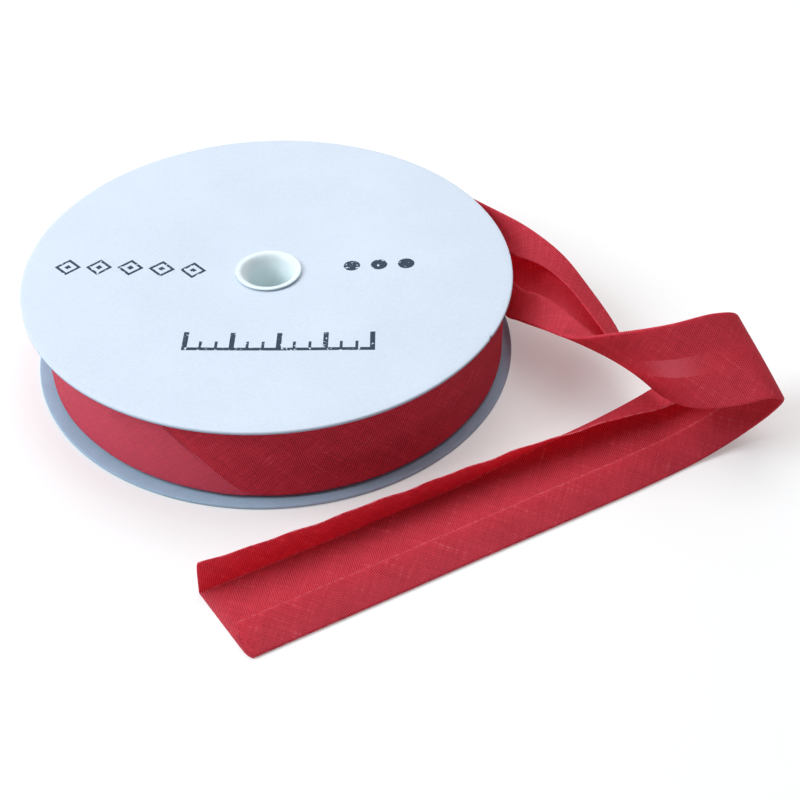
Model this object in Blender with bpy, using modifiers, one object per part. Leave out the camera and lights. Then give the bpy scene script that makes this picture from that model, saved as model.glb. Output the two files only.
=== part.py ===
"""A roll of bias binding: folded fabric tape wound between two card discs on a
moulded hub, with a loose tail that comes off the right side, turns over twice
and runs back along the table in front.

Units are metres and +Z is up. The origin lies on the table, under the middle
of the whole part. The tail's table is measured from the reel's axis.
"""
import math

import bmesh
import bpy
import numpy as np

MM = 0.001

# Reel
REEL_AXIS = (-22.1 * MM, 17.1 * MM)
DISC_RADIUS = 50.0 * MM
DISC_THICKNESS = 0.75 * MM
DISC_EDGE = 0.15 * MM
REEL_HEIGHT = 19.8 * MM
TOP_DISC_SHIFT = (-0.7 * MM, 0.0)
FLAT_RING_START = 34.0 * MM
DISH_DEPTH = 1.0 * MM
WINDING_RADIUS = 47.4 * MM
WINDING_ROUNDING = 0.5 * MM
WINDING_PLAY = 0.4 * MM
CLEARANCE = 0.3 * MM

# Hub
HUB_SHIFT = (-0.4 * MM, -0.4 * MM)
HUB_BORE_RADIUS = 4.3 * MM
HUB_WALL = 0.6 * MM
HUB_RIM_RADIUS = 6.75 * MM
HUB_RIM_THICKNESS = 0.4 * MM
HUB_HOLE_PLAY = 0.9 * MM

# Tape as it is folded
TAPE_WIDTH = 17.8 * MM
HEM_WIDTH = 6.8 * MM
CLOTH_THICKNESS = 1.0 * MM
LAYER_GAP = 0.4 * MM

DISC_STEPS = 80
HUB_STEPS = 40
TAIL_SECTIONS = 66

# The tail's folds, from the winding to the cut end. Each row is one ruling of
# the tape: the length run so far, where its top fold and its bottom fold lie
# (the folds' outer edges), how far each hem stands open in degrees, and how far
# the middle of the tape bellies out. Lengths are in millimetres.
TAIL_COLUMNS = (
    "run",
    "top_x", "top_y", "top_z",
    "bottom_x", "bottom_y", "bottom_z",
    "top_hem", "bottom_hem", "belly",
)
TAIL_ROWS = (
    # leaves the winding, top fold first
    (23, 47.2, 22.4, 16.8, 51.0, 0.4, 3.0, 0, 0, 0.0),
    (34, 55.6, 12.0, 16.5, 50.5, -5.0, 6.0, 18, 10, 0.0),
    (42, 62.0, 3.6, 14.8, 49.6, -8.8, 8.4, 34, 20, 0.0),
    (50, 66.3, -4.9, 11.6, 50.0, -12.0, 10.4, 28, 30, 0.2),
    # turns over on itself
    (60, 69.4, -14.3, 9.1, 52.9, -19.4, 13.8, 18, 20, 0.8),
    (70, 71.0, -24.1, 7.0, 57.1, -27.6, 17.6, 12, 14, 1.4),
    (80, 73.3, -33.9, 7.6, 63.6, -33.3, 22.7, 8, 8, 1.2),
    (90, 77.3, -42.6, 10.8, 72.3, -36.4, 26.5, 6, 6, 0.5),
    # runs to the right, smooth side up
    (100, 84.5, -47.4, 15.0, 82.0, -34.8, 27.4, 6, 6, 0.2),
    # bends down and under
    (107, 91.1, -47.0, 16.0, 87.4, -31.8, 24.6, 6, 6, 0.3),
    (113, 95.0, -44.5, 13.0, 89.3, -29.0, 19.7, 6, 6, 0.3),
    (120, 94.2, -42.0, 7.0, 87.0, -27.2, 13.6, 6, 8, 0.2),
    (127, 89.1, -42.4, 2.4, 81.7, -27.6, 9.0, 8, 12, 0.0),
    (137, 80.2, -46.2, 0.2, 73.0, -30.6, 5.2, 12, 26, 0.0),
    # lies on the table, bottom hem standing open
    (150, 68.3, -51.8, 0.0, 61.2, -35.7, 3.1, 16, 48, 0.0),
    (165, 54.5, -57.8, 0.0, 47.4, -41.5, 2.0, 18, 60, 0.0),
    (182, 38.8, -64.4, 0.0, 31.8, -48.0, 0.2, 18, 72, 0.0),
    (210, 13.0, -75.4, 0.0, 6.0, -59.0, 0.0, 18, 80, 0.0),
    (235, -8.2, -84.4, 0.0, -17.2, -68.7, 0.0, 18, 94, 0.0),
)


def new_material(name, colour, roughness, metallic=0.0):
    material = bpy.data.materials.new(name)
    material.use_nodes = True
    shader = material.node_tree.nodes["Principled BSDF"]
    shader.inputs["Base Color"].default_value = (*colour, 1.0)
    shader.inputs["Roughness"].default_value = roughness
    shader.inputs["Metallic"].default_value = metallic
    return material


def new_piece(name, points, edges, faces, material, collection):
    """Put a mesh in the collection as an object with one material."""
    mesh = bpy.data.meshes.new(name)
    mesh.from_pydata(points, edges, faces)
    mesh.materials.append(material)
    piece = bpy.data.objects.new(name, mesh)
    collection.objects.link(piece)
    return piece


def turn(name, profile, centre, steps, material, collection):
    """Turn a closed outline of (radius, height) points about a vertical axis.

    The outline runs down its outer side, inwards along its underside, up its
    bore and out along its top.
    """
    points = [(radius, 0.0, height) for radius, height in profile]
    edges = [(i, (i + 1) % len(points)) for i in range(len(points))]
    piece = new_piece(name, points, edges, [], material, collection)
    piece.location = (centre[0], centre[1], 0.0)
    screw = piece.modifiers.new("turn", "SCREW")
    screw.axis = "Z"
    screw.angle = 2.0 * math.pi
    screw.steps = steps
    screw.render_steps = steps
    screw.use_merge_vertices = True
    screw.merge_threshold = 0.00001
    screw.use_smooth_shade = True
    return piece


def dish(radius):
    """How far a disc is drawn in at this radius: nothing on its flat outer
    ring, then a half cosine wave down to the full depth at the hub."""
    share = min(max((FLAT_RING_START - radius) / (FLAT_RING_START - HUB_RIM_RADIUS), 0.0), 1.0)
    return DISH_DEPTH * 0.5 * (1.0 - math.cos(math.pi * share))


HUB_TUBE_RADIUS = HUB_BORE_RADIUS + HUB_WALL
DISC_HOLE_RADIUS = HUB_TUBE_RADIUS + HUB_HOLE_PLAY
DISH_RADII = np.linspace(FLAT_RING_START, DISC_HOLE_RADIUS, 5)


def make_disc(name, underside, inward, shift, material, collection):
    """A card disc with softened edges whose middle is drawn in to the winding."""
    low = [(r, underside + inward * dish(r)) for r in DISH_RADII]
    high = [(r, z + DISC_THICKNESS) for r, z in reversed(low)]
    rim = [
        (DISC_RADIUS - DISC_EDGE, underside + DISC_THICKNESS),
        (DISC_RADIUS, underside + DISC_THICKNESS - DISC_EDGE),
        (DISC_RADIUS, underside + DISC_EDGE),
        (DISC_RADIUS - DISC_EDGE, underside),
    ]
    centre = (REEL_AXIS[0] + shift[0], REEL_AXIS[1] + shift[1])
    return turn(name, rim + low + high, centre, DISC_STEPS, material, collection)


def make_winding(material, collection):
    """The wound tape as one turned body, its ends following the dished discs."""
    low_z = DISC_THICKNESS + WINDING_PLAY
    high_z = REEL_HEIGHT - low_z
    low = [(r, low_z + dish(r)) for r in DISH_RADII]
    high = [(r, REEL_HEIGHT - z) for r, z in reversed(low)]
    edge = [
        (WINDING_RADIUS - WINDING_ROUNDING, high_z),
        (WINDING_RADIUS - 0.3 * WINDING_ROUNDING, high_z - 0.3 * WINDING_ROUNDING),
        (WINDING_RADIUS, high_z - WINDING_ROUNDING),
        (WINDING_RADIUS, low_z + WINDING_ROUNDING),
        (WINDING_RADIUS - 0.3 * WINDING_ROUNDING, low_z + 0.3 * WINDING_ROUNDING),
        (WINDING_RADIUS - WINDING_ROUNDING, low_z),
    ]
    return turn("winding", edge + low + high, REEL_AXIS, DISC_STEPS, material, collection)


def make_hub(material, collection):
    """The hub: a tube through both discs whose ends flare over the card.

    The flare is the rim that lies on the card. The mouth widens the bore like
    a trumpet, and each of its rows is a radius and a height.
    """
    seat = REEL_HEIGHT - DISH_DEPTH + CLEARANCE
    top = seat + HUB_RIM_THICKNESS
    lip = 0.5 * HUB_RIM_THICKNESS
    flare = (
        (HUB_RIM_RADIUS - lip, top),
        (HUB_RIM_RADIUS, top - lip),
        (HUB_RIM_RADIUS - 0.3 * lip, seat),
        (HUB_TUBE_RADIUS, seat),
    )
    mouth = (
        (HUB_BORE_RADIUS, seat - 1.8 * MM),
        (HUB_BORE_RADIUS + 0.06 * MM, seat - 0.9 * MM),
        (HUB_BORE_RADIUS + 0.25 * MM, seat - 0.2 * MM),
        (HUB_BORE_RADIUS + 0.65 * MM, seat + 0.2 * MM),
        (HUB_BORE_RADIUS + 1.3 * MM, top - 0.03 * MM),
    )
    outer = list(flare) + [(r, REEL_HEIGHT - z) for r, z in reversed(flare)]
    inner = [(r, REEL_HEIGHT - z) for r, z in reversed(mouth)] + list(mouth)
    centre = (REEL_AXIS[0] + HUB_SHIFT[0], REEL_AXIS[1] + HUB_SHIFT[1])
    return turn("hub", outer + inner, centre, HUB_STEPS, material, collection)


def smooth_table(rows, column, places):
    """Read a column of the tail's table at any run of the tape, as a cubic
    through the rows whose slope at a row weighs the slopes on both sides."""
    knots = np.array([row[0] for row in rows], float)
    values = np.array([row[TAIL_COLUMNS.index(column)] for row in rows], float)
    steps = np.diff(knots)
    slopes = np.diff(values) / steps
    ends = np.zeros(len(knots))
    ends[1:-1] = (slopes[:-1] * steps[1:] + slopes[1:] * steps[:-1]) / (steps[:-1] + steps[1:])
    ends[0] = slopes[0]
    ends[-1] = slopes[-1]
    i = np.clip(np.searchsorted(knots, places, side="right") - 1, 0, len(steps) - 1)
    t = (places - knots[i]) / steps[i]
    rise = values[i + 1] - values[i]
    start = ends[i] * steps[i] - rise
    stop = -ends[i + 1] * steps[i] + rise
    return values[i] + rise * t + t * (1.0 - t) * (start * (1.0 - t) + stop * t)


def hem_line(opening, mirrored):
    """The middle line of one hem and its fold, from the raw edge to the base.

    The fold is an arc that turns the cloth back over itself, less the angle by
    which the hem stands open. Across the tape is u, and towards the folded side
    is v, both from the fold's outer edge. Angles come as one value a section.
    """
    radius = 0.5 * (CLOTH_THICKNESS + LAYER_GAP)
    turned = math.pi - np.radians(opening)[:, None]
    share = np.linspace(1.0, 0.0, 5)[None, :]
    reach = radius + 0.5 * CLOTH_THICKNESS
    arc_u = reach - radius * np.sin(turned * share)
    arc_v = reach - radius * np.cos(turned * share)
    along = HEM_WIDTH * np.array([1.0, 0.5])[None, :]
    hem_u = arc_u[:, :1] - np.cos(turned) * along
    hem_v = arc_v[:, :1] + np.sin(turned) * along
    u = np.hstack([hem_u, arc_u])
    v = np.hstack([hem_v, arc_v])
    if mirrored:
        u = TAPE_WIDTH - u[:, ::-1]
        v = v[:, ::-1]
    return u, v


def make_tail(material, collection):
    """The loose tape: a base with two turned-in hems, lofted along its folds."""
    first, last = TAIL_ROWS[0][0], TAIL_ROWS[-1][0]
    runs = np.linspace(first, last, TAIL_SECTIONS)
    read = {name: smooth_table(TAIL_ROWS, name, runs) for name in TAIL_COLUMNS[1:]}
    top = np.stack([read["top_x"], read["top_y"], read["top_z"]], axis=1) * MM
    bottom = np.stack([read["bottom_x"], read["bottom_y"], read["bottom_z"]], axis=1) * MM
    along = np.gradient(0.5 * (top + bottom), axis=0)
    across = bottom - top
    inward = np.cross(across, along)
    inward /= np.linalg.norm(inward, axis=1)[:, None]

    top_u, top_v = hem_line(read["top_hem"], False)
    bottom_u, bottom_v = hem_line(read["bottom_hem"], True)
    share = np.array([0.25, 0.5, 0.75])[None, :]
    base_u = top_u[:, -1:] + (bottom_u[:, :1] - top_u[:, -1:]) * share
    base_v = 0.5 * CLOTH_THICKNESS - read["belly"][:, None] * MM * np.sin(math.pi * share)
    u = np.hstack([top_u, base_u, bottom_u])
    v = np.hstack([top_v, base_v, bottom_v])

    # Thicken the middle line to both sides along its own normal.
    slope_u = np.gradient(u, axis=1)
    slope_v = np.gradient(v, axis=1)
    size = np.hypot(slope_u, slope_v)
    half = 0.5 * CLOTH_THICKNESS
    side_u = -slope_v / size * half
    side_v = slope_u / size * half
    ring_u = np.hstack([u + side_u, (u - side_u)[:, ::-1]])
    ring_v = np.hstack([v + side_v, (v - side_v)[:, ::-1]])

    points = (
        top[:, None, :]
        + (ring_u / TAPE_WIDTH)[:, :, None] * across[:, None, :]
        + ring_v[:, :, None] * inward[:, None, :]
    )
    points[:, :, 0] += REEL_AXIS[0]
    points[:, :, 1] += REEL_AXIS[1]
    points[:, :, 2] = np.maximum(points[:, :, 2], 0.0)

    sections, count = ring_u.shape
    faces = []
    for i in range(sections - 1):
        for j in range(count):
            k = (j + 1) % count
            faces.append((i * count + j, i * count + k, (i + 1) * count + k, (i + 1) * count + j))
    lines = count // 2
    for i in (0, sections - 1):
        for j in range(lines - 1):
            end = [i * count + p for p in (j, j + 1, count - 2 - j, count - 1 - j)]
            faces.append(tuple(end))
    piece = new_piece("tail", points.reshape(-1, 3).tolist(), [], faces, material, collection)
    shell = bmesh.new()
    shell.from_mesh(piece.data)
    bmesh.ops.recalc_face_normals(shell, faces=shell.faces)
    shell.to_mesh(piece.data)
    shell.free()
    piece.data.shade_smooth()
    return piece


def main():
    for old in list(bpy.data.objects):
        bpy.data.objects.remove(old)
    collection = bpy.data.collections.new("bias_binding_roll")
    bpy.context.scene.collection.children.link(collection)

    card = new_material("card", (0.72, 0.80, 0.86), 0.85)
    grey_card = new_material("grey_card", (0.30, 0.35, 0.40), 0.9)
    plastic = new_material("white_plastic", (0.85, 0.90, 0.90), 0.35)
    tape = new_material("red_tape", (0.50, 0.05, 0.07), 0.85)

    top_underside = REEL_HEIGHT - DISC_THICKNESS
    make_disc("bottom_disc", 0.0, 1.0, (0.0, 0.0), grey_card, collection)
    make_disc("top_disc", top_underside, -1.0, TOP_DISC_SHIFT, card, collection)
    make_hub(plastic, collection)
    make_winding(tape, collection)
    make_tail(tape, collection)


main()
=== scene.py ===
"""The looks of a roll of bias binding, built up as the real one is: bottom card,
wound tape, top card, hub, and the loose end that lies in front.

Lengths are in millimetres until a mesh is made. Places are measured from the
reel's axis, and heights from the table.
"""
import math

import bpy
import numpy as np
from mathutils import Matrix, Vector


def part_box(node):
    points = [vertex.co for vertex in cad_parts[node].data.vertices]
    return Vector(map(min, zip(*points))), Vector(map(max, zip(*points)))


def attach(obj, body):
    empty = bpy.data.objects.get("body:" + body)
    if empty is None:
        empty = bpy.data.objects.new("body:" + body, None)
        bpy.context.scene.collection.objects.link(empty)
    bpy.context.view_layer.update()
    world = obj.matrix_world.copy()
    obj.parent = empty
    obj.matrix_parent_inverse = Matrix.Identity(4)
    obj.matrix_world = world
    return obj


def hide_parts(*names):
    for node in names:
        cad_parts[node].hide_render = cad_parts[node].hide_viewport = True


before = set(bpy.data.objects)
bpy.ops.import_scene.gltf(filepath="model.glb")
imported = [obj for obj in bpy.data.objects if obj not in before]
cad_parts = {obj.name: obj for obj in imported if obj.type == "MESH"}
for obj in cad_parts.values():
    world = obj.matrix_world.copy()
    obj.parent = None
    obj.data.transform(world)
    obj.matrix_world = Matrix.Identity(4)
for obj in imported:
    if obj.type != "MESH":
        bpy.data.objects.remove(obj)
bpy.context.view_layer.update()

# The bottom card
# A disc die-cut from grey board lined with white paper, drawn in at the middle
# by the hub. Its white face lies on the table, and its grey face holds the tape.
MM = 0.001
card_low, card_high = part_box("bottom_disc")
AXIS = (np.array(card_low) + np.array(card_high)) / 2 / MM * (1, 1, 0)
CARD_RADIUS = (card_high.x - card_low.x) / 2 / MM
CARD_THICKNESS = 0.75
CARD_EDGE = 0.28
CARD_HOLE = 5.8
FLAT_RING_START = 34.0
DISH_DEPTH = 1.0
CARD_WAVE = 0.02
HUB_RIM_RADIUS = 6.75
NICK_DEPTH = 0.32
NICK_WIDTH = 0.35
BOARD_COLOUR = (0.41, 0.57, 0.71)
PAPER_COLOUR = (0.67, 0.73, 0.82)


def dish(radius):
    """How far a card is drawn in: half a cosine wave from nothing on the flat
    outer ring to the full depth at the hub."""
    share = np.clip((FLAT_RING_START - radius) / (FLAT_RING_START - HUB_RIM_RADIUS), 0, 1)
    return DISH_DEPTH * (1 - np.cos(np.pi * share)) / 2


def ripple(place, pitches, seed):
    """A gentle unevenness of about unit size: a sum of sine waves of these
    pitches along the given place, each with its own phase."""
    phases = np.random.default_rng(seed).uniform(0, 2 * np.pi, len(pitches))
    waves = [np.sin(2 * np.pi * place / pitch + phase) for pitch, phase in zip(pitches, phases)]
    return sum(waves) / len(waves)


def turned(radius, height, angle, shift=(0, 0)):
    """Points of a turned surface: radius times the cosine and sine of the angle,
    about the reel's axis moved by the shift, at the given height."""
    x = AXIS[0] + shift[0] + radius * np.cos(angle)
    y = AXIS[1] + shift[1] + radius * np.sin(angle)
    return np.stack(np.broadcast_arrays(x, y, height), axis=-1)


def grid_mesh(name, points, uv, closed_rows=False, closed_columns=False, crease=35):
    """A mesh of one quad between each four neighbours of a grid of points. A
    closed grid joins its last row or column to its first, and its UV grid then
    has one more of them than its points."""
    rows, columns = points.shape[:2]
    row = np.arange(rows if closed_rows else rows - 1)[:, None]
    column = np.arange(columns if closed_columns else columns - 1)[None, :]
    corners = [np.broadcast_arrays(row + i, column + j) for i, j in ((0, 0), (0, 1), (1, 1), (1, 0))]
    faces = np.stack([(r % rows) * columns + c % columns for r, c in corners], axis=-1)
    mesh = bpy.data.meshes.new(name)
    mesh.from_pydata(points.reshape(-1, 3) * MM, [], faces.reshape(-1, 4))
    loops = np.stack([uv[r, c] for r, c in corners], axis=2).astype(np.float32)
    mesh.uv_layers.new(name="UVMap").data.foreach_set("uv", loops.ravel())
    mesh.shade_smooth()
    mesh.set_sharp_from_angle(angle=math.radians(crease))
    return mesh


def new_piece(mesh, slot, node, *materials):
    """Show a mesh as the piece that stands for a node."""
    for material in materials:
        mesh.materials.append(material)
    piece = bpy.data.objects.new(mesh.name, mesh)
    bpy.context.scene.collection.objects.link(piece)
    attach(piece, "root")
    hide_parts(node)
    return piece


def new_material(name, roughness, specular):
    """A new material, its Principled shader and its node tree."""
    material = bpy.data.materials.new(name)
    material.use_nodes = True
    shader = material.node_tree.nodes["Principled BSDF"]
    shader.inputs["Roughness"].default_value = roughness
    shader.inputs["Specular IOR Level"].default_value = specular
    return material, shader, material.node_tree


def work_out(tree, operation, *values, clamp=False):
    """The result of a Math node whose inputs are numbers or sockets."""
    node = tree.nodes.new("ShaderNodeMath")
    node.operation = operation
    node.use_clamp = clamp
    for place, value in enumerate(values):
        if isinstance(value, (int, float)):
            node.inputs[place].default_value = value
        else:
            tree.links.new(value, node.inputs[place])
    return node.outputs[0]


def blend_colours(tree, share, first, second):
    """A colour that goes from the first to the second as share goes from 0 to 1."""
    node = tree.nodes.new("ShaderNodeMix")
    node.data_type = "RGBA"
    for socket, value in ((node.inputs[0], share), (node.inputs[6], first), (node.inputs[7], second)):
        if isinstance(value, tuple):
            socket.default_value = (*value, 1.0)
        elif isinstance(value, float):
            socket.default_value = value
        else:
            tree.links.new(value, socket)
    return node.outputs[2]


def grain(tree, place, scale, detail=2.0, roughness=0.5):
    """The value of a noise at this scale over the given coordinates."""
    node = tree.nodes.new("ShaderNodeTexNoise")
    node.inputs["Scale"].default_value = scale
    node.inputs["Detail"].default_value = detail
    node.inputs["Roughness"].default_value = roughness
    tree.links.new(place, node.inputs["Vector"])
    return node.outputs["Fac"]


def raise_surface(tree, shader, height, depth, strength=1.0):
    """Bump a shader by a height that stands for the given depth in millimetres."""
    bump = tree.nodes.new("ShaderNodeBump")
    bump.inputs["Distance"].default_value = depth * MM
    bump.inputs["Strength"].default_value = strength
    tree.links.new(height, bump.inputs["Height"])
    tree.links.new(bump.outputs["Normal"], shader.inputs["Normal"])


def object_place(tree):
    return tree.nodes.new("ShaderNodeTexCoord").outputs["Object"]


def board_material():
    """Grey board of recycled fibre: cloudy, with short light and dark fibres."""
    material, shader, tree = new_material("grey_board", 0.9, 0.2)
    place = object_place(tree)
    cloud = grain(tree, place, 260, 3.0)
    fibre = grain(tree, place, 2600, 4.0, 0.65)
    light = tuple(1.2 * part for part in BOARD_COLOUR)
    dark = tuple(0.72 * part for part in BOARD_COLOUR)
    share = work_out(tree, "MULTIPLY_ADD", cloud, 0.45, work_out(tree, "MULTIPLY", fibre, 0.55))
    tree.links.new(blend_colours(tree, share, dark, light), shader.inputs["Base Color"])
    raise_surface(tree, shader, fibre, 0.04)
    return material


def card_mesh(name, underside, inward, shift, seed, nick_angle=None):
    """A card as one closed skin: up its rim, in over its top, down its hole and
    out along its underside, the middle moved by dish(radius) towards the tape.
    A nick is a bell curve of the angle that is taken off the rim's radius."""
    radii = np.concatenate([np.linspace(CARD_RADIUS - CARD_EDGE, FLAT_RING_START, 14),
                            np.linspace(FLAT_RING_START, CARD_HOLE, 20)[1:]])
    bend = np.array([0.0, 0.3, 0.65, 1.0]) * np.pi / 2
    rim_low = CARD_RADIUS - CARD_EDGE + CARD_EDGE * np.sin(bend), CARD_EDGE - CARD_EDGE * np.cos(bend)
    rim_radius = np.concatenate([rim_low[0], rim_low[0][::-1]])
    rim_height = np.concatenate([rim_low[1], CARD_THICKNESS - rim_low[1][::-1]])
    radius = np.concatenate([rim_radius, radii[1:], radii[:0:-1]])[:, None]
    height = np.concatenate([rim_height, np.full(len(radii) - 1, CARD_THICKNESS),
                             np.zeros(len(radii) - 1)])[:, None]
    angle = np.linspace(0, 2 * np.pi, 720, endpoint=False)[None, :]
    wave = ripple(radius * np.cos(angle), (31, 47, 19), seed)
    wave = wave + ripple(radius * np.sin(angle), (37, 23, 53), seed + 1)
    height = underside + height + inward * dish(radius) + CARD_WAVE * wave
    if nick_angle is not None:
        nick = NICK_DEPTH * np.exp(-((angle - nick_angle) * CARD_RADIUS / NICK_WIDTH) ** 2)
        radius = radius - nick * (radius > CARD_RADIUS - 2 * CARD_EDGE)
    points = turned(radius, height, angle, shift)
    uv = np.zeros((points.shape[0] + 1, points.shape[1] + 1, 2))
    mesh = grid_mesh(name, points, uv, True, True)
    return mesh, len(rim_radius), len(radii) - 1, points.shape[1]


def lay_paper(mesh, first_row, rows, columns):
    """Give the second material to a run of rows of the card's faces."""
    index = np.zeros(len(mesh.polygons), np.int32)
    index[first_row * columns:(first_row + rows) * columns] = 1
    mesh.polygons.foreach_set("material_index", index)


def paper_material(name):
    """White lining paper: faintly cloudy and fibrous, matt."""
    material, shader, tree = new_material(name, 0.62, 0.35)
    place = object_place(tree)
    cloud = grain(tree, place, 70, 2.0)
    fibre = grain(tree, place, 1900, 4.0, 0.7)
    share = work_out(tree, "MULTIPLY_ADD", cloud, 0.3, work_out(tree, "MULTIPLY", fibre, 0.7))
    shade = tuple(0.85 * part for part in PAPER_COLOUR)
    light = tuple(1.14 * part for part in PAPER_COLOUR)
    colour = blend_colours(tree, share, shade, light)
    tree.links.new(colour, shader.inputs["Base Color"])
    raise_surface(tree, shader, fibre, 0.03)
    return material, shader, tree, colour


board = board_material()
plain_paper = paper_material("lining_paper")[0]
mesh, rim_rows, face_rows, card_columns = card_mesh("card_bottom", 0.0, 1.0, (0, 0), 3)
lay_paper(mesh, rim_rows + face_rows, face_rows, card_columns)
new_piece(mesh, "bottom_card", "bottom_disc", board, plain_paper)

# The wound tape
# Folded tape wound smooth side out, the last turn a little proud of the one
# below it. One piecing seam, sewn on the true bias, crosses it at the front left.
REEL_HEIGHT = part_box("top_disc")[1].z / MM
WOUND_RADIUS = 47.45
TURN_STEP = 0.4
WOUND_SWELL = 0.8
SWELL_PLACE = 0.655
SWELL_REACH = 0.21
WOUND_PLAY = 0.4
WOUND_LIFT = 0.3
WOUND_ROUNDING = 0.45
LEAVING_ANGLE = math.radians(68.3)
SEAM_ANGLE = math.radians(250.4)
SEAM_LEAN = 0.95
SEAM_ALLOWANCE = 6.0
PALE_REACH = 90.0
PALE_START = 1.25
PALE_SHARE = 0.36
HEM = 7.0
TAPE_WIDTH = 18.0
CUT_WIDTH = TAPE_WIDTH + 2 * HEM
WARP_PITCH = 0.225
WEFT_PITCH = 0.375
CLOTH_DARK = (0.19, 0.004, 0.010)
CLOTH_LIGHT = (0.79, 0.044, 0.077)
# A pale colour for thick threads, and for the painted sheen and painted highlights beside the seam.
CLOTH_SLUB_AND_SHEEN = (0.80, 0.14, 0.21)


def woven_cloth(name, tints, pale_and_lit_colour, specular, pale):
    """Plain-woven cloth cut on the bias, from a UV map in millimetres whose u
    runs along the tape and v across it from a raw edge.

    Threads run on the true bias: a = (u + v) / (root 2 x warp pitch) counts the
    warp and b = (u - v) / (root 2 x weft pitch) the weft. A thread's ridge is
    |cos(pi a)|, and which one is on top follows cos(pi a) cos(pi b). The tops
    line up as ribs along cos(pi (a + b)).
    """
    material, shader, tree = new_material(name, 0.60, specular)
    place = tree.nodes.new("ShaderNodeTexCoord").outputs["UV"]
    split = tree.nodes.new("ShaderNodeSeparateXYZ")
    tree.links.new(place, split.inputs[0])
    u, v = split.outputs["X"], split.outputs["Y"]
    sway = work_out(tree, "MULTIPLY", grain(tree, place, 0.35, 2.0), 0.8)
    warp = work_out(tree, "ADD", work_out(tree, "ADD", u, v), sway)
    weft = work_out(tree, "SUBTRACT", work_out(tree, "SUBTRACT", u, v), sway)
    a = work_out(tree, "DIVIDE", warp, WARP_PITCH * math.sqrt(2))
    b = work_out(tree, "DIVIDE", weft, WEFT_PITCH * math.sqrt(2))
    wave_a = work_out(tree, "COSINE", work_out(tree, "MULTIPLY", a, math.pi))
    wave_b = work_out(tree, "COSINE", work_out(tree, "MULTIPLY", b, math.pi))
    ridge_a = work_out(tree, "ABSOLUTE", wave_a)
    ridge_b = work_out(tree, "ABSOLUTE", wave_b)
    over = work_out(tree, "MULTIPLY_ADD", work_out(tree, "MULTIPLY", wave_a, wave_b), 0.5, 0.5)
    under = work_out(tree, "SUBTRACT", 1.0, over)
    height = work_out(tree, "MULTIPLY_ADD", ridge_a, over, work_out(tree, "MULTIPLY", ridge_b, under))

    # Threads differ in thickness: a noise that is short across them and long along them.
    slub = []
    for across, along, seed in ((a, b, 3.7), (b, a, 9.1)):
        join = tree.nodes.new("ShaderNodeCombineXYZ")
        tree.links.new(work_out(tree, "MULTIPLY", across, 0.8), join.inputs[0])
        tree.links.new(work_out(tree, "MULTIPLY", along, 0.035), join.inputs[1])
        join.inputs[2].default_value = seed
        slub.append(grain(tree, join.outputs[0], 1.0, 1.0))
    thread = work_out(tree, "ADD", slub[0], slub[1])
    thick = work_out(tree, "MULTIPLY", work_out(tree, "SUBTRACT", thread, 1.21, clamp=True), 3.5, clamp=True)

    cloud = grain(tree, place, 0.12, 3.0)
    speck = grain(tree, place, 2.2, 3.0, 0.6)
    rib = work_out(tree, "COSINE", work_out(tree, "MULTIPLY", work_out(tree, "ADD", a, b), math.pi))
    clear = work_out(tree, "SUBTRACT", grain(tree, place, 0.3, 2.0), 0.32)
    clear = work_out(tree, "MULTIPLY", clear, 3.0, clamp=True)
    rib = work_out(tree, "MULTIPLY", rib, clear)
    share = work_out(tree, "MULTIPLY_ADD", over, 0.58, -0.52)
    for part, weight in ((rib, 0.38), (thread, 0.46), (cloud, 0.20), (speck, 0.80)):
        share = work_out(tree, "MULTIPLY_ADD", part, weight, share)
    share = work_out(tree, "ADD", share, 0.0, clamp=True)
    dark, light = tints(tree, u)
    colour = blend_colours(tree, share, dark, light)
    colour = blend_colours(tree, work_out(tree, "MULTIPLY", thick, 0.5), colour, pale_and_lit_colour)
    # Paler marks: real grain and wear, with painted sheen, painted highlights and painted light coming
    # through the cloth.
    colour = blend_colours(tree, pale(tree, u, v), colour, pale_and_lit_colour)
    tree.links.new(colour, shader.inputs["Base Color"])
    raise_surface(tree, shader, work_out(tree, "MULTIPLY_ADD", thick, 0.6, height), 0.06, 0.8)
    return material, shader, tree, colour


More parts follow.
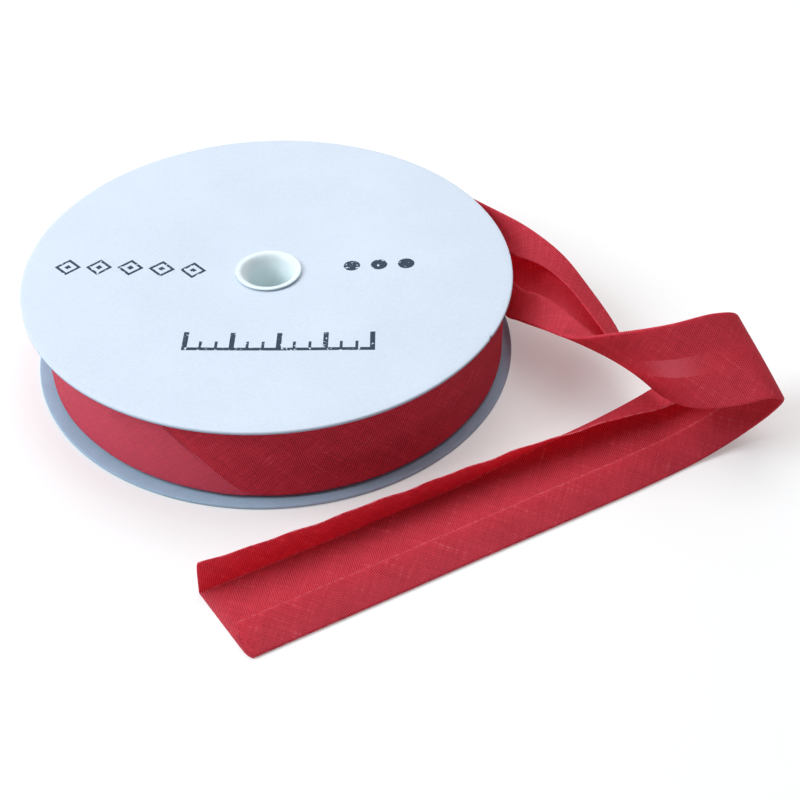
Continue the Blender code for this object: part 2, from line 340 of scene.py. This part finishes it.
def wound_mesh():
    """The wound tape as one closed skin. Round it, the radius falls by one turn
    from where the loose end leaves, and swells by a flat-topped bell of the share
    of the turn. The columns lean with the seam there, by the lean times the square
    of the cosine of half the angle from it."""
    seam_side = np.array([0.12, 0.25, 0.45, 0.8, 1.3, 2.0]) / WOUND_RADIUS
    before = np.linspace(LEAVING_ANGLE, SEAM_ANGLE, 190)[:-1]
    after = np.linspace(SEAM_ANGLE, LEAVING_ANGLE + 2 * np.pi, 190)[1:]
    at_seam = np.concatenate([SEAM_ANGLE - seam_side, [SEAM_ANGLE], SEAM_ANGLE + seam_side])
    angle = np.unique(np.concatenate([before, at_seam, after]))
    low = CARD_THICKNESS + WOUND_PLAY + WOUND_LIFT
    high = REEL_HEIGHT - CARD_THICKNESS - WOUND_PLAY
    bend = np.linspace(0, np.pi / 2, 5)
    face = np.linspace(low + WOUND_ROUNDING, high - WOUND_ROUNDING, 34)
    falling = WOUND_ROUNDING * np.cos(bend)
    rising = WOUND_ROUNDING * np.sin(bend)
    side = np.concatenate([face[0] - falling[:-1], face, face[-1] + rising[1:]])
    inset = np.concatenate([WOUND_ROUNDING - rising[:-1], 0 * face, WOUND_ROUNDING - falling[1:]])
    ends = np.linspace(WOUND_RADIUS - TURN_STEP - WOUND_ROUNDING - 0.1, CARD_HOLE, 16)
    top = high - dish(ends)
    bottom = low + dish(ends)

    middle = (low + high) / 2
    lean = SEAM_LEAN * np.cos((angle - SEAM_ANGLE) / 2) ** 2
    turn = angle[None, :] - lean[None, :] * (side[:, None] - middle) / WOUND_RADIUS
    arc = (angle - SEAM_ANGLE)[None, :] * WOUND_RADIUS
    share = (angle - LEAVING_ANGLE) / (2 * np.pi)
    upper = np.clip((side[:, None] - middle) / (high - middle) + 0.35, 0, 1)
    stitches = 0.8 + 0.2 * np.cos(2 * np.pi * side[:, None] / 2.2)
    groove = -(0.10 + 0.22 * upper) * np.exp(-(arc / 0.20) ** 2) * stitches
    lap = 0.14 * np.exp(-np.maximum(arc, 0) / 0.25) / (1 + np.exp(-(arc + SEAM_ALLOWANCE) / 0.6))
    hollow = -0.06 * np.exp(-((side[:, None] - middle) / 2.4) ** 4)
    uneven = 0.05 * ripple(arc + 2 * side[:, None], (61, 27, 17), 5)
    swell = WOUND_SWELL * np.exp(-((share - SWELL_PLACE) / SWELL_REACH) ** 4) - TURN_STEP * share
    outer = WOUND_RADIUS + swell[None, :] - inset[:, None] + hollow + uneven + groove + lap

    end_radius = np.broadcast_to(ends[:, None], (len(ends), len(angle)))
    radius = np.vstack([outer, end_radius, end_radius[::-1]])
    height = np.concatenate([side, top, bottom[::-1]])[:, None] + 0 * radius
    turn = np.vstack([turn, np.broadcast_to(angle, (2 * len(ends), len(angle)))])
    points = turned(radius, height, turn)
    uv = np.zeros((points.shape[0] + 1, points.shape[1] + 1, 2))
    along = turn * WOUND_RADIUS - SEAM_ANGLE * WOUND_RADIUS
    uv[:-1, :-1, 0] = along
    uv[:-1, -1, 0] = along[:, -1]
    uv[:-1, :, 1] = HEM + height[:, :1] - low
    uv[-1] = uv[-2]
    return grid_mesh("wound_turns", points, uv, True, True)


def seam_grain_and_sheen(tree, u, v):
    """Paler left of the piecing seam, partly the cloth's own grain and partly painted sheen from the lamp on
    the left, fading round the back; painted highlights along the seam's lower half and
    where its allowance shows at the foot."""
    middle = HEM + (REEL_HEIGHT - WOUND_LIFT) / 2 - CARD_THICKNESS - WOUND_PLAY
    lean = work_out(tree, "MULTIPLY", work_out(tree, "SUBTRACT", v, middle), SEAM_LEAN)
    past = work_out(tree, "ADD", u, lean)
    fade = work_out(tree, "MULTIPLY_ADD", past, 1 / PALE_REACH, PALE_START, clamp=True)
    # The cloth's own paler grain left of the seam, with painted sheen from the left lamp on top.
    left = work_out(tree, "LESS_THAN", past, 0.0)
    left = work_out(tree, "MULTIPLY", left, work_out(tree, "MULTIPLY", fade, PALE_SHARE))
    # A painted highlight on the seam's ridge, along its lower half.
    line = work_out(tree, "LESS_THAN", work_out(tree, "ABSOLUTE", past), 0.15)
    low = work_out(tree, "LESS_THAN", v, middle + 1.2)
    ridge = work_out(tree, "MULTIPLY", work_out(tree, "MULTIPLY", line, low), 0.65)
    # A painted highlight where the seam allowance shows at the foot.
    foot = work_out(tree, "SUBTRACT", HEM + 2.6, v)
    flap = work_out(tree, "LESS_THAN", past, work_out(tree, "MULTIPLY", foot, 1.1))
    flap = work_out(tree, "MULTIPLY", flap, work_out(tree, "GREATER_THAN", foot, 0.0))
    flap = work_out(tree, "MULTIPLY", flap, 0.16)
    allowance_highlight = work_out(tree, "MULTIPLY", flap, work_out(tree, "GREATER_THAN", u, 0.0))
    return work_out(tree, "MAXIMUM", work_out(tree, "MAXIMUM", left, ridge), allowance_highlight)


def wound_tints(tree, u):
    """The same all along the winding."""
    return CLOTH_DARK, CLOTH_LIGHT


wound_cloth = woven_cloth("wound_cloth", wound_tints, CLOTH_SLUB_AND_SHEEN, 0.10, seam_grain_and_sheen)[0]
new_piece(wound_mesh(), "wound_tape", "winding", wound_cloth)

# The top card
# The same board, white face up and a little off centre on the hub. Its marks
# are dark ink: a width gauge in front, and plain ornaments on both sides.
INK_COLOUR = (0.022, 0.045, 0.075)
LINE_TURN = -6.5
NICK_ANGLE = 2 * math.pi - math.radians(33.5)


def ink_marks(tree):
    """Where ink lies: shapes written in millimetres along and across three lines
    of print, each line centred and turned by its own Mapping node."""
    def line(centre):
        mapping = tree.nodes.new("ShaderNodeMapping")
        mapping.vector_type = "TEXTURE"
        mapping.inputs["Location"].default_value = (*(MM * (AXIS[:2] + centre)), 0.0)
        mapping.inputs["Rotation"].default_value = (0.0, 0.0, math.radians(LINE_TURN))
        mapping.inputs["Scale"].default_value = (MM, MM, MM)
        tree.links.new(object_place(tree), mapping.inputs["Vector"])
        split = tree.nodes.new("ShaderNodeSeparateXYZ")
        tree.links.new(mapping.outputs[0], split.inputs[0])
        return split.outputs["X"], split.outputs["Y"]

    def within(value, half):
        return work_out(tree, "LESS_THAN", work_out(tree, "ABSOLUTE", value), half)

    def repeat(value, pitch):
        return work_out(tree, "WRAP", value, pitch / 2, -pitch / 2)

    def both(*masks):
        result = masks[0]
        for mask in masks[1:]:
            result = work_out(tree, "MULTIPLY", result, mask)
        return result

    p, q = line((0.2, -24.2))
    rail = both(within(work_out(tree, "ADD", q, 2.4), 0.45), within(p, 18.4))
    tall = both(within(repeat(p, 9.0), 0.5), within(q, 2.85), within(p, 18.6))
    short = both(within(repeat(p, 3.0), 0.28), within(work_out(tree, "ADD", q, 1.2), 1.2), within(p, 18.4))
    p, q = line((21.9, -1.2))
    cell = repeat(p, 5.6)
    apart = work_out(tree, "ADD", work_out(tree, "MULTIPLY", cell, cell), work_out(tree, "MULTIPLY", q, q))
    dots = both(work_out(tree, "LESS_THAN", apart, 1.7 ** 2), within(p, 8.4))
    p, q = line((-28.9, 3.1))
    cell = work_out(tree, "ABSOLUTE", repeat(p, 6.4))
    reach = work_out(tree, "ADD", cell, work_out(tree, "ABSOLUTE", q))
    diamonds = both(within(work_out(tree, "SUBTRACT", reach, 2.3), 0.42), within(p, 16.0))
    pips = both(work_out(tree, "LESS_THAN", reach, 0.75), within(p, 16.0))
    mask = rail
    for other in (tall, short, dots, diamonds, pips):
        mask = work_out(tree, "MAXIMUM", mask, other)
    worn = work_out(tree, "LESS_THAN", grain(tree, object_place(tree), 1500, 2.0), 0.64)
    return work_out(tree, "MULTIPLY", mask, worn)


printed_paper, shader, tree, colour = paper_material("printed_paper")
tree.links.new(blend_colours(tree, ink_marks(tree), colour, INK_COLOUR), shader.inputs["Base Color"])
top_low, top_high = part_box("top_disc")
top_shift = (np.array(top_low) + np.array(top_high))[:2] / 2 / MM - AXIS[:2]
mesh, rim_rows, face_rows, card_columns = card_mesh(
    "card_top", REEL_HEIGHT - CARD_THICKNESS, -1.0, top_shift, 11, NICK_ANGLE)
lay_paper(mesh, rim_rows - 4, face_rows + 4, card_columns)
new_piece(mesh, "top_card", "top_disc", board, printed_paper)

# The hub
# A moulded tube of white plastic that goes through both cards. Its ends flare
# like a trumpet and lie over the card, and the rim keeps a small moulding burr.
HUB_COLOUR = (0.86, 0.975, 0.99)
BORE_RADIUS = 4.3
TUBE_RADIUS = 4.9
NECK_RADIUS = 5.85
MOUTH_RADIUS = 6.2
FLANGE_FALL = 0.06
RIM_THICKNESS = 0.4
TRUMPET_DEPTH = 4.2
# How far the rim rises to one side, sinks into the card and sits off centre.
RIM_TILT = 0.10
RIM_SINK = 0.08
RIM_SHIFT = (-0.4, 0.0)
BURR_ANGLE = math.radians(186)
hub_low, hub_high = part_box("hub")
hub_shift = (np.array(hub_low) + np.array(hub_high))[:2] / 2 / MM - AXIS[:2]


def hub_mesh():
    """The hub as one closed skin: up the tube's outside and its widening neck,
    round the top rim, in over its flange, down the trumpet and the bore, and the
    same at the bottom. Neck and trumpet are both quarters of an ellipse."""
    top = hub_high.z / MM
    seat = top - RIM_THICKNESS
    half = RIM_THICKNESS / 2
    bend = np.linspace(-np.pi / 2, np.pi / 2, 9)
    lip_radius = HUB_RIM_RADIUS - half + half * np.cos(bend)
    lip_height = seat + half + half * np.sin(bend)
    fall = np.linspace(0, 1, 15)[1:]
    flange = np.linspace(HUB_RIM_RADIUS - half, MOUTH_RADIUS, 5)[1:]
    trumpet_radius = BORE_RADIUS + (MOUTH_RADIUS - BORE_RADIUS) * (1 - np.sin(np.pi / 2 * fall))
    trumpet_height = top - FLANGE_FALL - TRUMPET_DEPTH * (1 - np.cos(np.pi / 2 * fall))
    neck_radius = TUBE_RADIUS + (NECK_RADIUS - TUBE_RADIUS) * (1 - np.cos(np.pi / 2 * fall))
    neck_height = seat - (TRUMPET_DEPTH - RIM_THICKNESS) * (1 - np.sin(np.pi / 2 * fall))
    upper_radius = np.concatenate([[TUBE_RADIUS], neck_radius, lip_radius, flange, trumpet_radius])
    flange_height = top - FLANGE_FALL * np.linspace(0, 1, 5)[1:]
    upper_height = np.concatenate(
        [[top - TRUMPET_DEPTH], neck_height, lip_height, flange_height, trumpet_height])
    radius = np.concatenate([upper_radius, upper_radius[::-1]])[:, None]
    height = np.concatenate([upper_height, REEL_HEIGHT - upper_height[::-1]])[:, None]
    angle = np.linspace(0, 2 * np.pi, 160, endpoint=False)[None, :]
    flare = np.clip((radius - TUBE_RADIUS) / (HUB_RIM_RADIUS - TUBE_RADIUS), 0, 1)
    upper = height > REEL_HEIGHT / 2
    burr = 0.22 * np.exp(-((angle - BURR_ANGLE) / 0.035) ** 2) * (flare > 0.97) * upper
    tilt = RIM_TILT * (np.cos(angle) + 1) / 2 * flare * upper
    points = turned(radius + burr, height + tilt - RIM_SINK * upper * flare, angle, hub_shift + RIM_SHIFT)
    uv = np.zeros((points.shape[0] + 1, points.shape[1] + 1, 2))
    return grid_mesh("hub_moulding", points, uv, True, True, crease=60)


def plastic_material():
    """White polypropylene: a soft gloss, a little light going in, faint flow marks."""
    material, shader, tree = new_material("hub_plastic", 0.36, 0.5)
    place = object_place(tree)
    flow = grain(tree, place, 420, 3.0)
    shade = tuple(0.96 * part for part in HUB_COLOUR)
    tree.links.new(blend_colours(tree, flow, shade, HUB_COLOUR), shader.inputs["Base Color"])
    shader.inputs["Subsurface Weight"].default_value = 0.25
    shader.inputs["Subsurface Radius"].default_value = (0.6, 1.0, 1.1)
    shader.inputs["Subsurface Scale"].default_value = 1.5 * MM
    raise_surface(tree, shader, flow, 0.02)
    return material


new_piece(hub_mesh(), "hub_plastic", "hub", plastic_material())

# The loose end
# The last 255 mm of the tape: a strip 32 mm wide whose two edges are turned in
# as hems. It lies on the winding, leaves it top fold first, turns over on
# itself, bends down and under, and lies on the table folded side up.
CLOTH_THICKNESS = 0.22
FOLD_RADIUS = 0.26
CUT_REACH = 12.0
CUT_SETBACK = 1.0
FAR_SETBACK = 0.5
FOLD_ROUNDING = 0.9
EDGE_ROUNDING = 0.3
ROUNDING_REACH = 0.7
GLOW_RUN = 88.5
GLOW_REACH = 5.0
CUT_STRIP = 2.5
THIN_DARK = (0.54, 0.024, 0.042)
THIN_LIGHT = (1.0, 0.120, 0.180)
# A pale colour for thick threads and worn edges, and for the painted light through the single layer.
THIN_SLUB_WEAR_AND_GLOW = (1.0, 0.34, 0.42)
THIN_SHARE = 0.6
FREE_REACH = 16.0
FREE_START = 0.12
TAIL_COLUMNS = (
    "run",
    "top_x", "top_y", "top_z",
    "bottom_x", "bottom_y", "bottom_z",
    "top_hem", "bottom_hem", "belly",
)
# Each row is one ruling of the tape: the length run so far, where its two folds
# lie, how far each hem stands open in degrees, and how far its middle bellies out.
TAIL_ROWS = (
    # lies on the winding
    (-20, 17.5, 44.1, 18.6, 17.5, 44.1, 1.2, 0, 0, 0.0),
    (-10, 26.4, 39.4, 18.6, 26.4, 39.4, 1.2, 0, 0, 0.0),
    (0, 34.3, 33.1, 18.6, 33.9, 33.2, 1.2, 2, 0, 0.0),
    # leaves it, top fold first
    (10, 41.8, 26.3, 18.5, 40.1, 25.5, 1.2, 4, 0, 0.0),
    (20, 49.0, 19.0, 18.0, 44.9, 16.5, 1.1, 9, 4, 0.0),
    (30, 55.8, 11.5, 17.3, 48.6, 7.1, 1.6, 19, 11, 0.0),
    (40, 62.0, 3.7, 14.9, 49.2, -2.5, 4.3, 38, 18, 0.0),
    (50, 66.3, -4.9, 11.5, 49.8, -11.0, 9.6, 32, 34, 0.2),
    # turns over on itself
    (60, 69.4, -14.3, 9.1, 52.9, -19.4, 13.8, 18, 20, 0.7),
    (70, 71.0, -24.1, 7.0, 57.1, -27.6, 17.6, 12, 14, 0.6),
    (80, 73.3, -33.9, 7.6, 63.6, -33.3, 22.7, 8, 8, 0.6),
    (90, 77.3, -42.6, 10.8, 72.3, -36.4, 26.5, 6, 6, 0.5),
    # runs to the right, smooth side up
    (100, 84.5, -47.4, 15.0, 82.0, -34.8, 27.4, 6, 6, 0.2),
    # bends down and under
    (107, 91.1, -47.0, 16.0, 87.4, -31.8, 24.6, 6, 6, 0.3),
    (113, 95.0, -44.5, 13.0, 89.3, -29.0, 19.7, 6, 6, 0.3),
    (120, 94.2, -42.0, 7.0, 87.0, -27.2, 13.6, 6, 8, 0.2),
    (127, 89.1, -42.4, 2.4, 81.7, -27.6, 9.0, 8, 12, 0.0),
    (137, 80.2, -46.2, 0.2, 73.0, -30.6, 5.2, 12, 26, 0.0),
    # lies on the table, bottom hem standing open
    (150, 68.3, -51.8, 0.0, 61.2, -35.7, 3.1, 16, 48, 0.0),
    (165, 54.5, -57.8, 0.0, 47.4, -41.5, 2.0, 18, 60, 0.0),
    (182, 38.8, -64.4, 0.0, 31.8, -48.0, 0.2, 18, 72, 0.0),
    (210, 13.0, -75.4, 0.0, 6.0, -59.0, 0.0, 18, 80, 0.0),
    (235, -8.7, -84.6, 0.0, -17.2, -68.7, 0.0, 18, 94, 0.0),
)


def read_table(column, places):
    """A column of the tail's table at any run of the tape: a cubic through the
    rows, whose slope at a row weighs the slopes on both sides."""
    knots = np.array([row[0] for row in TAIL_ROWS], float)
    values = np.array([row[TAIL_COLUMNS.index(column)] for row in TAIL_ROWS], float)
    steps = np.diff(knots)
    slopes = np.diff(values) / steps
    ends = np.zeros(len(knots))
    ends[1:-1] = (slopes[:-1] * steps[1:] + slopes[1:] * steps[:-1]) / (steps[:-1] + steps[1:])
    ends[0] = slopes[0]
    ends[-1] = slopes[-1]
    i = np.clip(np.searchsorted(knots, places, side="right") - 1, 0, len(steps) - 1)
    t = (places - knots[i]) / steps[i]
    rise = values[i + 1] - values[i]
    start = ends[i] * steps[i] - rise
    stop = -ends[i + 1] * steps[i] + rise
    return values[i] + rise * t + t * (1 - t) * (start * (1 - t) + stop * t)


def hem_line(opening, mirrored):
    """The middle of the cloth in one hem and its fold, from the raw edge to the
    base: an arc that turns the cloth back over itself less the opening angle,
    then a straight run. u is across the tape, v towards the folded side."""
    turned_by = math.pi - np.radians(opening)[:, None]
    share = np.linspace(1.0, 0.0, 9)[None, :]
    reach = FOLD_RADIUS + CLOTH_THICKNESS / 2
    arc_u = reach - FOLD_RADIUS * np.sin(turned_by * share)
    arc_v = reach - FOLD_RADIUS * np.cos(turned_by * share)
    flat = (HEM - math.pi * FOLD_RADIUS / 2) * np.linspace(1.0, 0.0, 12)[None, :-1]
    u = np.hstack([arc_u[:, :1] - np.cos(turned_by) * flat, arc_u])
    v = np.hstack([arc_v[:, :1] + np.sin(turned_by) * flat, arc_v])
    return (TAPE_WIDTH - u[:, ::-1], v[:, ::-1]) if mirrored else (u, v)


def tail_mesh():
    """The strip's middle surface: sections across the tape, carried along its
    two folds. A point is the top fold + u / width x across + v x inward. Near
    the cut it is drawn back along the tape, more at the edges and folds."""
    runs = np.linspace(TAIL_ROWS[0][0], TAIL_ROWS[-1][0], 500)
    read = {name: read_table(name, runs) for name in TAIL_COLUMNS[1:]}
    top = np.stack([read["top_x"], read["top_y"], read["top_z"]], axis=1)
    bottom = np.stack([read["bottom_x"], read["bottom_y"], read["bottom_z"]], axis=1)
    along = np.gradient((top + bottom) / 2, axis=0)
    across = bottom - top
    inward = np.cross(across, along)
    inward /= np.linalg.norm(inward, axis=1)[:, None]

    lying = np.clip((runs - 120) / 30, 0, 1)
    top_u, top_v = hem_line(read["top_hem"] + 1.2 * lying * ripple(runs, (23, 11, 41), 21), False)
    bottom_u, bottom_v = hem_line(read["bottom_hem"] + 2.5 * lying * ripple(runs, (17, 9, 33), 22), True)
    share = np.linspace(0, 1, 26)[None, 1:-1]
    base_u = top_u[:, -1:] + (bottom_u[:, :1] - top_u[:, -1:]) * share
    base_v = CLOTH_THICKNESS / 2 - read["belly"][:, None] * np.sin(np.pi * share)
    u = np.hstack([top_u, base_u, bottom_u])
    v = np.hstack([top_v, base_v, bottom_v])
    points = AXIS + top[:, None] + (u / TAPE_WIDTH)[..., None] * across[:, None]
    points += v[..., None] * inward[:, None]
    points[..., 2] = np.maximum(points[..., 2], CLOTH_THICKNESS / 2)

    uv = np.zeros((*u.shape, 2))
    uv[:, 1:, 1] = np.cumsum(np.hypot(np.diff(u, axis=1), np.diff(v, axis=1)), axis=1)
    uv[..., 1] *= CUT_WIDTH / uv[:, -1:, 1]
    near_cut = np.clip((runs - runs[-1]) / CUT_REACH + 1, 0, 1)[:, None] ** 2
    near_hem = CUT_SETBACK * np.clip(1 - uv[..., 1] / HEM, 0, 1)
    far_hem = FAR_SETBACK * np.clip(1 - (CUT_WIDTH - uv[..., 1]) / HEM, 0, 1)
    corners = FOLD_ROUNDING * np.exp(-np.abs(uv[..., 1] - HEM) / ROUNDING_REACH)
    corners += EDGE_ROUNDING * np.exp(-np.abs(uv[..., 1] - CUT_WIDTH) / ROUNDING_REACH)
    drawn_in = near_cut * (near_hem + far_hem + corners)
    along /= np.linalg.norm(along, axis=1)[:, None]
    points -= drawn_in[..., None] * along[:, None]
    uv[..., 0] = runs[:, None] - drawn_in
    return grid_mesh("loose_end", points, uv, crease=80)


def wear_and_painted_glow(tree, u, v):
    """Pale, broken threads along the raw edges and the two pressed creases, a
    paler strip at the cut, and light through the one layer between the hems,
    a bell curve of the length where the tape turns over."""
    join = tree.nodes.new("ShaderNodeCombineXYZ")
    tree.links.new(u, join.inputs[0])
    tree.links.new(work_out(tree, "MULTIPLY", v, 0.4), join.inputs[1])
    broken = work_out(tree, "SUBTRACT", grain(tree, join.outputs[0], 0.9, 3.0), 0.42)
    broken = work_out(tree, "MULTIPLY", broken, 5.0, clamp=True)
    across = work_out(tree, "ABSOLUTE", work_out(tree, "SUBTRACT", v, CUT_WIDTH / 2))
    edge = work_out(tree, "LESS_THAN", work_out(tree, "SUBTRACT", CUT_WIDTH / 2, across), 0.14)
    crease = work_out(tree, "ABSOLUTE", work_out(tree, "SUBTRACT", across, TAPE_WIDTH / 2))
    crease = work_out(tree, "LESS_THAN", crease, 0.14)
    lying = work_out(tree, "GREATER_THAN", u, 120.0)
    line = work_out(tree, "MAXIMUM", edge, crease)
    line = work_out(tree, "MULTIPLY", line, work_out(tree, "MULTIPLY_ADD", lying, 0.6, 0.12))
    line = work_out(tree, "MULTIPLY", line, broken)
    base = work_out(tree, "LESS_THAN", across, TAPE_WIDTH / 2)
    cut = work_out(tree, "SUBTRACT", u, TAIL_ROWS[-1][0] - CUT_STRIP)
    cut = work_out(tree, "MULTIPLY", cut, 1 / CUT_STRIP, clamp=True)
    strip = work_out(tree, "MULTIPLY", cut, base)
    # Painted light coming through the single layer between the hems, where the tape turns over.
    gap = work_out(tree, "LESS_THAN", across, TAPE_WIDTH / 2 - HEM)
    along = work_out(tree, "DIVIDE", work_out(tree, "SUBTRACT", u, GLOW_RUN), GLOW_REACH)
    square = work_out(tree, "MULTIPLY", along, along)
    bell = work_out(tree, "EXPONENT", work_out(tree, "MULTIPLY", square, -1.0))
    glow = work_out(tree, "MULTIPLY", work_out(tree, "MULTIPLY", gap, bell), 0.5)
    strip = work_out(tree, "MULTIPLY", strip, 0.2)
    return work_out(tree, "MAXIMUM", work_out(tree, "MAXIMUM", line, glow), strip)


def come_free(tree, u):
    """0 where the tape lies on the winding, rising evenly to 1 once it is clear of it."""
    return work_out(tree, "MULTIPLY_ADD", u, 1 / FREE_REACH, FREE_START, clamp=True)


def loose_tints(tree, u):
    """As deep as the winding where it lies on it, paler where light comes through."""
    free = come_free(tree, u)
    dark = blend_colours(tree, free, CLOTH_DARK, THIN_DARK)
    return dark, blend_colours(tree, free, CLOTH_LIGHT, THIN_LIGHT)


loose_cloth, shader, tree, colour = woven_cloth("loose_cloth", loose_tints, THIN_SLUB_WEAR_AND_GLOW, 0.24, wear_and_painted_glow)
through = tree.nodes.new("ShaderNodeBsdfTranslucent")
tree.links.new(colour, through.inputs["Color"])
mix = tree.nodes.new("ShaderNodeMixShader")
split = tree.nodes.new("ShaderNodeSeparateXYZ")
tree.links.new(tree.nodes.new("ShaderNodeTexCoord").outputs["UV"], split.inputs[0])
free = come_free(tree, split.outputs["X"])
tree.links.new(work_out(tree, "MULTIPLY", free, THIN_SHARE), mix.inputs[0])
tree.links.new(shader.outputs[0], mix.inputs[1])
tree.links.new(through.outputs[0], mix.inputs[2])
tree.links.new(mix.outputs[0], tree.nodes["Material Output"].inputs["Surface"])
tail = new_piece(tail_mesh(), "loose_tape", "tail", loose_cloth)
solidify = tail.modifiers.new("cloth", "SOLIDIFY")
solidify.thickness = CLOTH_THICKNESS * MM
solidify.offset = 0.0

# The studio
# A pale floor that looks a little brighter than it lights, so that shadows stay
# weak, a soft lamp from the left, one overhead and a weak one at the back, and
# the camera as the photograph was taken.
FLOOR_DROP = 0.03
FLOOR_GLOW = 0.26


def new_floor():
    mesh = bpy.data.meshes.new("floor")
    half = 3.0
    corners = [(-half, -half), (half, -half), (half, half), (-half, half)]
    mesh.from_pydata([(x, y, -FLOOR_DROP * MM) for x, y in corners], [], [(0, 1, 2, 3)])
    material, shader, tree = new_material("floor_paper", 0.9, 0.1)
    shader.inputs["Base Color"].default_value = (0.74, 0.72, 0.70, 1.0)
    shader.inputs["Emission Color"].default_value = (1.0, 1.0, 1.0, 1.0)
    seen = tree.nodes.new("ShaderNodeLightPath").outputs["Is Camera Ray"]
    tree.links.new(work_out(tree, "MULTIPLY", seen, FLOOR_GLOW), shader.inputs["Emission Strength"])
    mesh.materials.append(material)
    floor = bpy.data.objects.new("floor", mesh)
    bpy.context.scene.collection.objects.link(floor)


def new_lamp(name, place, size, power, colour):
    """A square area lamp at a place, in metres, that shines at the reel."""
    data = bpy.data.lights.new(name, "AREA")
    data.size = size
    data.energy = power
    data.color = colour
    lamp = bpy.data.objects.new(name, data)
    lamp.location = place
    aim = np.array([0.0, 0.0, 0.01]) - np.array(place)
    tilt = math.atan2(math.hypot(aim[0], aim[1]), -aim[2])
    lamp.rotation_euler = (tilt, 0.0, math.atan2(aim[1], aim[0]) - math.pi / 2)
    bpy.context.scene.collection.objects.link(lamp)


new_floor()
new_lamp("key", (-0.72, -0.02, 0.60), 0.5, 6.3, (0.84, 0.93, 1.0))
new_lamp("overhead", (0.0, 0.25, 1.0), 1.1, 6.2, (0.97, 0.98, 1.0))
new_lamp("backdrop", (0.10, 0.70, 0.70), 0.9, 1.8, (0.97, 0.98, 1.0))
world = bpy.data.worlds.new("studio")
world.use_nodes = True
world.node_tree.nodes["Background"].inputs["Color"].default_value = (0.92, 0.96, 1.0, 1.0)
world.node_tree.nodes["Background"].inputs["Strength"].default_value = 0.22
scene = bpy.context.scene
scene.world = world
scene.view_settings.view_transform = "Standard"

camera_data = bpy.data.cameras.new("camera")
camera_data.lens = 61.56
camera_data.clip_start = 0.01
camera = bpy.data.objects.new("camera", camera_data)
camera.location = (AXIS[0] * MM, AXIS[1] * MM - 0.2298, 0.1852)
camera.rotation_euler = (math.radians(90 - 41.49), 0.0, math.radians(-6.55))
scene.collection.objects.link(camera)
scene.camera = camera
